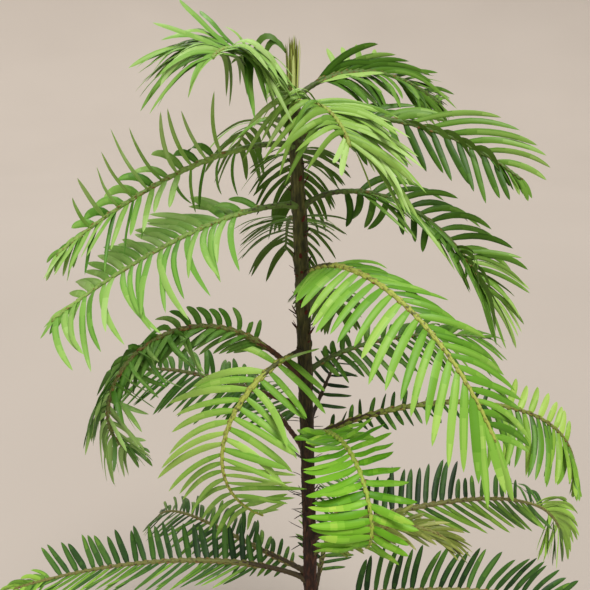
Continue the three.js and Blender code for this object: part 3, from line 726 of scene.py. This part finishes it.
def row_leaves(bough, index, row, place, frame_at):
    """The leaves of one row, which is the bough's row number place."""
    leafy = bough.length * (1 - BARE_SHARE)
    count = max(2, round(leafy * (row.end - row.start) / row.spacing))
    k = np.arange(count) * 2 + (row.hand > 0) + ROW_SEED_STEP * place

    def chance(channel):
        return scatter(index, k, channel)

    share = lerp(row.start, row.end, (np.arange(count) + (0.75 if row.hand > 0 else 0.25)) / count)
    s = BARE_SHARE + (1 - BARE_SHARE) * share
    centre, radius, along, side, up = frame_at(s)
    splay = np.radians(lerp(*row.splay, share**2) + row.stray * SPLAY_SCATTER * (chance(1) - 0.5))
    lift = np.radians(row.lift + row.stray * LIFT_SCATTER * (chance(2) - 0.5))
    shorten = np.minimum(1, np.minimum(row.ends[0] + 2 * share, row.ends[1] + 1.5 * (1 - share)))
    length = row.leaf * shorten * (1 + LENGTH_SCATTER * (chance(3) - 0.5))
    out = (
        along * np.cos(splay)[:, None]
        + side * (row.hand * np.sin(splay) * np.cos(lift))[:, None]
        + up * (np.sin(splay) * np.sin(lift))[:, None]
    )
    forward = unit(along - out * (along * out).sum(-1, keepdims=True)) * row.hand
    return Leaves(
        root=centre - out * (LEAF_ROOT_SINK * radius)[:, None],
        out=out,
        forward=forward,
        length=length,
        width=row.width * (0.88 + 0.24 * chance(4)),
        sag=row.sag * (0.7 + 0.6 * chance(5)),
        sickle=row.bow * row.hand * (0.3 + 1.2 * chance(6)),
        twist=np.radians(lerp(*row.facing, share) + row.curl * (chance(7) - 0.5) * 2),
        wave=(YELLOW_LEAF_WAVE if bough.look == "yellow" else LEAF_WAVE) * (0.5 + chance(8)),
        tint=row.shade + 0.8 + 2.8 * chance(9),
        gain=0.4 + 1.9 * chance(10),
        band=0.15 + 0.75 * chance(12),
        glow=BAND_GLOW.get(bough.look, 0.4) * chance(13),
        girth=radius,
        axis=along,
    )


def bough_leaves(bough, index, frame_at):
    parts = [row_leaves(bough, index, row, n, frame_at) for n, row in enumerate(bough_rows(bough))]
    return join(parts)


def pick(leaves, keep):
    return Leaves(*[values[keep] for values in leaves])


def clear_of(leaves, centres, radii):
    """True for each leaf whose outer part keeps clear of a row of balls, a stem's or the trunk's."""
    samples = leaf_curve(leaves, np.linspace(0.3, 1.0, 8))[0]
    gaps = np.linalg.norm(samples[:, :, None] - centres[None, None], axis=-1) - radii[None, None]
    return gaps.min(axis=(1, 2)) > LEAF_CLEARANCE


FOOT_SLOT, LEAFY_SLOT, CUSHION_SLOT, COLLAR_SLOT = range(4)


def stem_piece(bough, index, frame_at, leaves, materials):
    """The bough's wood, from inside the trunk to its tip, with a collar and a cushion under every leaf."""
    rings = np.linspace(0, 1, round(bough.length / STEM_RING))
    centre, radius, along, side, up = frame_at(rings)
    walked = rings * bough.length
    girth = float(trunk_radius(np.array([float(bough.height)]))[0])
    collar = 1 + COLLAR_SWELL * np.exp(-np.clip(walked - girth, 0, None) / COLLAR_FADE)
    knobs = 1 + STEM_KNOBS * np.sin(walked * 4 * np.pi / LOOKS[bough.look].spacing)
    rough = [[noise.noise(Vector((i * 1.7, w * 0.6, index))) for i in range(STEM_SIDES)] for w in walked]
    radii = (radius * collar * knobs)[:, None] * (1 + STEM_ROUGHNESS * np.array(rough))
    points, faces = tube(centre, side, up, radii, STEM_SIDES)
    middle = np.repeat((rings[:-1] + rings[1:]) / 2, STEM_SIDES)
    ragged = middle + 0.05 * (scatter(index, np.arange(len(middle)), 11) - 0.5)
    slots = np.where(ragged < BROWN_SHARE, FOOT_SLOT, LEAFY_SLOT)
    slots[middle * bough.length < girth + COLLAR_REACH] = COLLAR_SLOT
    slots = slots.tolist() + [COLLAR_SLOT, LEAFY_SLOT]
    cushion_points, cushion_faces = cushions(leaves)
    base = len(points)
    faces += [tuple(base + c for c in f) for f in cushion_faces]
    slots += [CUSHION_SLOT] * len(cushion_faces)
    points = np.concatenate([points, cushion_points])
    return make_piece("stem_" + bough.name, points, faces, materials, slots)


def cushions(leaves):
    """Small swollen leaf bases that run back along the stem, one under each leaf."""
    size = (leaves.girth / CUSHION_STEM)[:, None]
    ahead = (leaves.out * leaves.axis).sum(-1, keepdims=True)
    away = unit(leaves.out - leaves.axis * ahead)
    lead = np.clip(ahead / np.sqrt(1.0001 - ahead**2), -CUSHION_LEAD, CUSHION_LEAD)
    centre = leaves.root + leaves.out * (LEAF_ROOT_SINK * leaves.girth)[:, None]
    root = centre + (away + leaves.axis * lead) * leaves.girth[:, None]
    wide = np.cross(leaves.axis, away)
    corners = np.stack(
        [
            root + away * 0.6 * size,
            root + wide * 0.9 * size,
            root - wide * 0.9 * size,
            root - leaves.axis * 4.4 * size - away * 0.3 * size,
            root + leaves.axis * 0.9 * size,
            root - away * 1.0 * size,
        ],
        axis=1,
    )
    pattern = [(0, 1, 4), (0, 4, 2), (0, 3, 1), (0, 2, 3), (5, 4, 1), (5, 2, 4), (5, 1, 3), (5, 3, 2)]
    faces = [tuple(6 * n + c for c in f) for n in range(len(corners)) for f in pattern]
    return corners.reshape(-1, 3), faces


def trunk_piece():
    """The trunk with ridged flaky bark, old leaf bases in a spiral, and swellings where boughs leave it."""
    heights = np.arange(SOIL_LEVEL - 4, TRUNK_TIP, TRUNK_RING)
    angles = np.arange(TRUNK_SIDES) * 2 * np.pi / TRUNK_SIDES
    centre = trunk_centre(heights)
    relief = np.zeros((len(heights), TRUNK_SIDES))
    for j, z in enumerate(heights):
        for i, a in enumerate(angles):
            x, y = math.cos(a), math.sin(a)
            ridges = noise.noise(Vector((x * 3.2, y * 3.2, z * 0.045)))
            flakes = noise.noise(Vector((x * 5.5 + 9, y * 5.5, z * 0.24)))
            grain = noise.noise(Vector((x * 11, y * 11 + 5, z * 0.7)))
            relief[j, i] = BARK_RIDGES * ridges + BARK_FLAKES * max(0, flakes) ** 0.6 + BARK_GRAIN * grain
    knob = np.arange(OLD_LEAF_BASES)
    knob_z = SOIL_LEVEL + 12 + OLD_LEAF_BASE_STEP * knob
    knob_a = np.radians(GOLDEN_ANGLE * knob)
    for z0, a0 in zip(knob_z, knob_a):
        rows = np.abs(heights - z0) < 8
        dz = (heights[rows] - z0)[:, None]
        da = (np.angle(np.exp(1j * (angles - a0))) * TRUNK_BASE_RADIUS)[None]
        drop = np.where(dz < 0, 3.4, 1.2)
        size = FRESH_LEAF_BASE_SIZE if z0 > FRESH_LEAF_BASES_FROM else OLD_LEAF_BASE_SIZE
        relief[rows] += size * np.exp(-((dz / drop) ** 2) - (da / 1.1) ** 2)
    for bough in BOUGHS:
        dz = (heights - bough.height - 1)[:, None]
        da = (np.angle(np.exp(1j * (angles - math.radians(bough.turn)))) * TRUNK_BASE_RADIUS)[None]
        relief += BOUGH_SWELLING * np.exp(-((dz / 5.0) ** 2) - (da / 3.4) ** 2)
    radii = trunk_radius(heights)[:, None] - BARK_SINK + relief
    side = np.tile([1.0, 0.0, 0.0], (len(heights), 1))
    up = np.tile([0.0, 1.0, 0.0], (len(heights), 1))
    points, faces = tube(centre, side, up, radii, TRUNK_SIDES)
    faces = [f[::-1] for f in faces]
    piece = make_piece("trunk_bark", points, faces, [bark_material()])
    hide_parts("trunk")


def round_directions(turn):
    """The directions away from the trunk and round it at each turn."""
    outward = np.stack([np.cos(turn), np.sin(turn), 0 * turn], axis=-1)
    around = np.stack([-np.sin(turn), np.cos(turn), 0 * turn], axis=-1)
    return outward, around


def spikes(name, places, look, colours, roughness):
    """Narrow leaves on the trunk. places has the height, turn, slant, length, width and bend of each."""
    height, turn, slant, length, width, bend = np.array(places).T
    outward, around = round_directions(turn)
    leaves = plain_leaves(
        root=trunk_centre(height) + outward * (trunk_radius(height) - 0.6)[:, None],
        out=unit(outward * np.cos(slant)[:, None] + UPWARD * np.sin(slant)[:, None]),
        forward=-around,
        length=length,
        width=width,
        sag=bend,
        sickle=np.full(len(places), 0.02),
        tint=np.arange(len(places)) % len(colours),
    )
    points, faces, slots, crease = leaf_mesh(leaves)
    slots = np.where(slots < TINTS, slots, 0)
    materials = [leaf_material(f"{look}_{n}", colour, roughness) for n, colour in enumerate(colours)]
    piece = make_piece(name, points, faces, materials, slots, crease)


def scales_and_needles():
    """Crimson scales on the green upper trunk, and dead needles that stand out further down."""
    rng = np.random.default_rng(11)
    scales, needles = [], []
    for _ in range(TRUNK_SCALES):
        height = rng.uniform(GREEN_TRUNK_FROM - 40, TRUNK_TIP - 12)
        turn = rng.uniform(0, 2 * math.pi)
        slant = math.radians(rng.uniform(28, 64))
        scales.append((height, turn, slant, rng.uniform(4, 7), 1.8, 0))
    for _ in range(DEAD_NEEDLES):
        height = DEAD_NEEDLES_FROM + rng.uniform(0, DEAD_NEEDLES_REACH)
        turn = rng.uniform(0, 2 * math.pi)
        slant = math.radians(rng.uniform(-5, 50))
        length = rng.uniform(6, 14)
        needles.append((height, turn, slant, length, 0.9, rng.uniform(-0.2, 0.3)))
    spikes("trunk_scales", scales, "scale_crimson", ("#5a1a18", "#6a2821", "#45281b"), 0.6)
    spikes("dead_needles", needles, "needle_dead", ("#2b2a1c", "#3c2a20", "#23261a"), 0.7)


def bud_piece():
    """The bud, a blunt bundle of narrow upright needles round the trunk's tip, and the leaves beside it."""
    rng = np.random.default_rng(23)
    rise = np.linspace(0, 1, BUD_NEEDLES)
    outward, around = round_directions(np.radians(GOLDEN_ANGLE) * np.arange(BUD_NEEDLES))
    needles = plain_leaves(
        root=trunk_centre(TRUNK_TIP - 9 + 5 * rise) + outward * lerp(3.0, 1.0, rise)[:, None],
        out=unit(outward * lerp(0.045, 0.0, rise)[:, None] + UPWARD),
        forward=around,
        length=rng.uniform(21, 31, BUD_NEEDLES) - 3 * rise,
        width=rng.uniform(0.9, 1.4, BUD_NEEDLES),
        sickle=rng.uniform(-0.03, 0.03, BUD_NEEDLES),
        twist=rng.uniform(-0.3, 0.3, BUD_NEEDLES),
        tint=rng.uniform(0, TINTS, BUD_NEEDLES),
        gain=rng.uniform(0, 0.8, BUD_NEEDLES),
    )
    height, away, lean, length, width, sag, turn = np.array(BUD_LEAVES).T
    to_left = np.array([-1.0, 0.0, 0.0])
    beside = plain_leaves(
        root=trunk_centre(height) + away[:, None] * to_left,
        out=unit(lean[:, None] * to_left + UPWARD),
        forward=np.tile([0.0, -1.0, 0.0], (len(BUD_LEAVES), 1)),
        length=length,
        width=width,
        sag=sag,
        twist=np.radians(turn),
    )
    leaves = join([needles, beside])
    points, faces, slots, crease = leaf_mesh(leaves)
    slots[len(slots) * BUD_NEEDLES // len(leaves.length) :] = TINTS + 1
    colours = [blend(BUD_TINTS, n / (TINTS - 1)) for n in range(TINTS)] + [BUD_UNDERSIDE, BUD_LEAF_COLOUR]
    materials = [leaf_material(f"bud_{n + 1}", colour, 0.5) for n, colour in enumerate(colours)]
    leader = make_piece("tip_bud", points, faces, materials, slots, crease)
    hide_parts("leader")


# Pot and potting mix


def pot_wall_at(z):
    return lerp(POT_FOOT_RADIUS, POT_RIM_RADIUS - POT_RIM_LIP, z / POT_HEIGHT)


def turned(outline, sides):
    """Points and faces turned about the z axis from an outline that starts and ends on it."""
    angles = np.arange(sides) * 2 * np.pi / sides
    points = [(r * math.cos(a), r * math.sin(a), z) for r, z in outline[1:-1] for a in angles]
    rings = len(outline) - 2
    faces = ring_faces(rings, sides, turned_round=True)
    low, high = len(points), len(points) + 1
    points += [(0, 0, outline[0][1]), (0, 0, outline[-1][1])]
    for i in range(sides):
        k = (i + 1) % sides
        faces.append((low, k, i))
        faces.append((high, (rings - 1) * sides + i, (rings - 1) * sides + k))
    return points, faces


def pot_outline():
    """The pot's section: foot, wall with moulded rings, rolled rim and the inside."""
    foot, rim, top = POT_FOOT_RADIUS, POT_RIM_RADIUS, POT_HEIGHT
    band_foot = POT_HEIGHT - POT_RIM_BAND
    outline = [(0, 0), (foot - 4, 0), (foot - 3, 0.8), (foot - 1.6, 0.2), (foot - 0.5, 0.6)]
    outline += [(pot_wall_at(2), 2)]
    for ring in MOULDED_RINGS:
        outline += [(pot_wall_at(ring - 1.1), ring - 1.1), (pot_wall_at(ring) + 0.55, ring - 0.4)]
        outline += [(pot_wall_at(ring) + 0.55, ring + 0.4), (pot_wall_at(ring + 1.1), ring + 1.1)]
    outline += [(pot_wall_at(band_foot) - 0.1, band_foot - 0.6), (pot_wall_at(band_foot), band_foot)]
    outline += [(rim - 0.9, band_foot + 0.1), (rim - 0.3, band_foot + 0.8), (rim - 0.5, band_foot + 2)]
    outline += [(rim - 0.5, top - 3), (rim, top - 2), (rim - 0.1, top - 0.6), (rim - 0.8, top)]
    outline += [(pot_wall_at(top) - 0.6, top), (pot_wall_at(top) - POT_WALL, top - 0.8)]
    outline += [(pot_wall_at(band_foot) - POT_WALL, band_foot)]
    outline += [(pot_wall_at(POT_WALL) - POT_WALL, POT_WALL), (0, POT_WALL)]
    return outline


def pot_piece():
    points, faces = turned(pot_outline(), POT_SIDES)
    piece = make_piece("nursery_pot", points, faces, [pot_material()])
    cutter_mesh = bpy.data.meshes.new("drain_cutter")
    cutter = bmesh.new()
    for i in range(DRAIN_HOLES):
        angle = (i + 0.5) * 2 * math.pi / DRAIN_HOLES
        made = bmesh.ops.create_cone(
            cutter,
            cap_ends=True,
            segments=28,
            radius1=DRAIN_RADIUS * MM,
            radius2=DRAIN_RADIUS * MM,
            depth=4 * POT_WALL * MM,
        )
        place = Vector((DRAIN_CIRCLE * MM * math.cos(angle), DRAIN_CIRCLE * MM * math.sin(angle), 0))
        bmesh.ops.translate(cutter, verts=made["verts"], vec=place)
    cutter.to_mesh(cutter_mesh)
    cutter.free()
    holes = add_object("drain_cutter", cutter_mesh)
    cut = piece.modifiers.new("drain_holes", "BOOLEAN")
    cut.operation = "DIFFERENCE"
    cut.object = holes
    shape = bpy.data.meshes.new_from_object(piece.evaluated_get(bpy.context.evaluated_depsgraph_get()))
    piece.modifiers.clear()
    piece.data = shape
    bpy.data.objects.remove(holes)
    shape.set_sharp_from_angle(angle=math.radians(40))
    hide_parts("pot")


def soil_height(x, y):
    """The uneven top of the mix, heaped a little round the trunk and settled at the pot's wall."""
    broad = noise.noise(Vector((x * 0.035, y * 0.035, 3)))
    crumbs = noise.noise(Vector((x * 0.22, y * 0.22, 7)))
    fine = noise.noise(Vector((x * 0.7, y * 0.7, 11)))
    heap = 2.2 * math.exp(-math.hypot(x, y) / 16)
    return SOIL_LEVEL - 2.6 + 1.9 * broad + 1.5 * crumbs + 0.7 * fine + heap


def soil_radius(z):
    return pot_wall_at(z) - POT_WALL - SOIL_GAP


def soil_piece():
    floor = POT_WALL + SOIL_GAP
    edge = soil_radius(SOIL_LEVEL - 3)
    outline = [(0, floor), (soil_radius(floor), floor), (soil_radius(SOIL_LEVEL - 8), SOIL_LEVEL - 8)]
    outline += [(edge * (1 - j / SOIL_RINGS), SOIL_LEVEL) for j in range(SOIL_RINGS)]
    outline += [(0, SOIL_LEVEL)]
    points, faces = turned(outline, SOIL_SIDES)
    points = [(x, y, soil_height(x, y)) if z == SOIL_LEVEL else (x, y, z) for x, y, z in points]
    mix = earth_material("potting_mix", MIX_STOPS, 0.95)
    piece = make_piece("potting_mix", points, faces, [mix])
    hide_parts("soil")


def chunks(name, count, sizes, lowest, highest, materials, seed):
    """Loose lumps that lie on the mix, each a pulled and flattened ball, all in one piece."""
    rng = np.random.default_rng(seed)
    ball = bmesh.new()
    bmesh.ops.create_icosphere(ball, subdivisions=1, radius=1)
    shape = np.array([v.co[:] for v in ball.verts])
    pattern = [tuple(v.index for v in f.verts) for f in ball.faces]
    ball.free()
    points, faces, slots = [], [], []
    for n in range(count):
        far = CHIPS_REACH * math.sqrt(rng.uniform(0.012, 1))
        turn = rng.uniform(0, 2 * math.pi)
        x, y = far * math.cos(turn), far * math.sin(turn)
        size = np.array([rng.uniform(*sizes), rng.uniform(*sizes) * 0.6, rng.uniform(lowest, highest)])
        lump = shape * (1 + rng.uniform(-LUMP_ROUGHNESS, LUMP_ROUGHNESS, (len(shape), 1))) * size
        spin, tip = rng.uniform(0, 2 * math.pi), rng.normal(0, LUMP_TIP)
        cos, sin = math.cos(spin), math.sin(spin)
        around = np.array([[cos, -sin, 0], [sin, cos, 0], [0, 0, 1]])
        cos, sin = math.cos(tip), math.sin(tip)
        over = np.array([[cos, 0, sin], [0, 1, 0], [-sin, 0, cos]])
        if far + size[0] > CHIPS_EDGE:
            continue
        place = np.array([x, y, soil_height(x, y) + size[2] * 0.35])
        faces += [tuple(len(points) * len(shape) + c for c in f) for f in pattern]
        slots += [int(rng.integers(len(materials)))] * len(pattern)
        points.append(lump @ over.T @ around.T + place)
    piece = make_piece(name, np.concatenate(points), faces, materials, slots)
    piece.data.set_sharp_from_angle(angle=math.radians(28))


# The plant

leaf_materials = {}
stem_materials = {}
for key, look in LOOKS.items():
    tints = [blend(look.tints, n / (TINTS - 1)) for n in range(TINTS)]
    tops = [leaf_material(f"leaf_{key}_{n + 1}", colour, 0.42) for n, colour in enumerate(tints)]
    leaf_materials[key] = tops + [leaf_material(f"leaf_{key}_under", look.underside, 0.6)]
    stem_materials[key] = [
        stem_material(f"stem_{key}_foot", look.foot_stem, "#3b2a1c"),
        stem_material(f"stem_{key}", look.stem, look.foot_stem),
        stem_material(f"cushion_{key}", look.stem, "#8a5a2c"),
        stem_material(f"collar_{key}", COLLAR_BROWN.get(key, look.foot_stem), "#3b2a1c"),
    ]

trunk_heights = np.arange(SOIL_LEVEL, TRUNK_TIP, 3.0)
trunk_balls = trunk_centre(trunk_heights)
trunk_girths = trunk_radius(trunk_heights)
paths = [bough_path(bough) for bough in BOUGHS]
stem_balls = []
for bough, frame_at in zip(BOUGHS, paths):
    shares = np.linspace(0.05, 1, round(bough.length / 3))
    stem_balls.append(frame_at(shares)[:2])

for index, (bough, frame_at) in enumerate(zip(BOUGHS, paths)):
    leaves = bough_leaves(bough, index, frame_at)
    keep = clear_of(leaves, trunk_balls, trunk_girths)
    for other, (centres, radii) in enumerate(stem_balls):
        if other != index:
            keep &= clear_of(leaves, centres, radii)
    leaves = pick(leaves, keep)
    points, faces, slots, crease = leaf_mesh(leaves)
    blades = make_piece("leaves_" + bough.name, points, faces, leaf_materials[bough.look], slots, crease)
    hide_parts("spray_" + bough.name)
    stem = stem_piece(bough, index, frame_at, leaves, stem_materials[bough.look])
    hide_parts("bough_" + bough.name)

trunk_piece()
scales_and_needles()
bud_piece()
pot_piece()
soil_piece()
chips = [
    earth_material(f"bark_chip_{n + 1}", [(0.35, low), (0.65, high)], 0.9)
    for n, (low, high) in enumerate(CHIP_TONES)
]
chunks("bark_chips", BARK_CHIPS, (2.2, 6.5), 0.8, 2.2, chips, 5)
chunks("granules", GRANULES, (0.8, 1.9), 0.7, 1.5, [earth_material("granule", GRIT_STOPS, 0.8)], 8)

# Floor: a wide pale sweep that rises all round far from the plant, in metres
FLOOR_FLAT = 3.5
FLOOR_RISE = 3.5
FLAT_STEPS = 14
RISE_STEPS = 24
FLOOR_SIDES = 96
sweep = [(FLOOR_FLAT * step / FLAT_STEPS, 0) for step in range(1, FLAT_STEPS + 1)]
for step in range(1, RISE_STEPS + 1):
    turn = math.pi / 2 * step / RISE_STEPS
    sweep.append((FLOOR_FLAT + FLOOR_RISE * math.sin(turn), FLOOR_RISE * (1 - math.cos(turn))))
floor_points = [(0, 0, 0)]
for radius, height in sweep:
    for i in range(FLOOR_SIDES):
        angle = i * 2 * math.pi / FLOOR_SIDES
        floor_points.append((radius * math.cos(angle), radius * math.sin(angle), height))
floor_faces = [(0, 1 + i, 1 + (i + 1) % FLOOR_SIDES) for i in range(FLOOR_SIDES)]
floor_faces += ring_faces(len(sweep), FLOOR_SIDES, first=1)
floor_mesh = smooth_mesh("floor", floor_points, floor_faces)
floor = add_object("floor", floor_mesh)
floor_look, floor_tree, floor_shader, floor_place = new_material("floor", 0.9)
floor_grain = noise_node(floor_tree, floor_place, 1.2, 2)
floor_tint = ramp_node(floor_tree, floor_grain, [(0.3, "#b9afa5"), (0.7, "#bdb3a9")])
floor_tree.links.new(floor_tint, floor_shader.inputs["Base Color"])
floor_mesh.materials.append(floor_look)

# Light: an even pale sky, wide soft daylight from above in front, and two weak lamps
SKY_POWER = 0.3
SKY_COLOUR = (1.0, 0.975, 0.945, 1.0)
DAYLIGHT_POWER = 2.62
DAYLIGHT_SPREAD = 28
DAYLIGHT_COLOUR = (1.0, 0.985, 0.96)
DAYLIGHT_DIRECTION = (-0.26, 0.42, -1.0)
PLANT_MIDDLE = (0, 0, 0.4)
world = bpy.data.worlds.new("sky")
world.use_nodes = True
sky = world.node_tree.nodes["Background"]
sky.inputs["Color"].default_value = SKY_COLOUR
sky.inputs["Strength"].default_value = SKY_POWER
bpy.context.scene.world = world


def add_lamp(name, kind, power, direction):
    data = bpy.data.lights.new(name, kind)
    data.energy = power
    lamp = add_object(name, data)
    lamp.rotation_euler = direction.to_track_quat("-Z", "Y").to_euler()
    return lamp


def soft_lamp(name, place, size, power):
    """A round lamp that faces the middle of the plant."""
    lamp = add_lamp(name, "AREA", power, Vector(PLANT_MIDDLE) - Vector(place))
    lamp.location = place
    lamp.data.shape = "DISK"
    lamp.data.size = size


daylight = add_lamp("daylight", "SUN", DAYLIGHT_POWER, Vector(DAYLIGHT_DIRECTION))
daylight.data.angle = math.radians(DAYLIGHT_SPREAD)
daylight.data.color = DAYLIGHT_COLOUR
soft_lamp("fill_lamp", (-3.0, -2.0, 2.6), 2.4, 22)
soft_lamp("rim_lamp", (-0.6, 3.0, 3.8), 2.2, 30)
bpy.context.scene.view_settings.view_transform = "Standard"

# Camera: at the photo's viewing angle, in front of the upper trunk
LENS = 38.44
SENSOR_WIDTH = 36
LOOK_DOWN = 22
camera_data = bpy.data.cameras.new("camera")
camera_data.lens = LENS
camera_data.sensor_width = SENSOR_WIDTH
camera_data.clip_start = 0.01
camera = add_object("camera", camera_data)
camera.location = (-0.0156, -0.350, 0.680)
camera.rotation_euler = (math.radians(90 - LOOK_DOWN), 0, 0)
bpy.context.scene.camera = camera

bpy.context.view_layer.update()
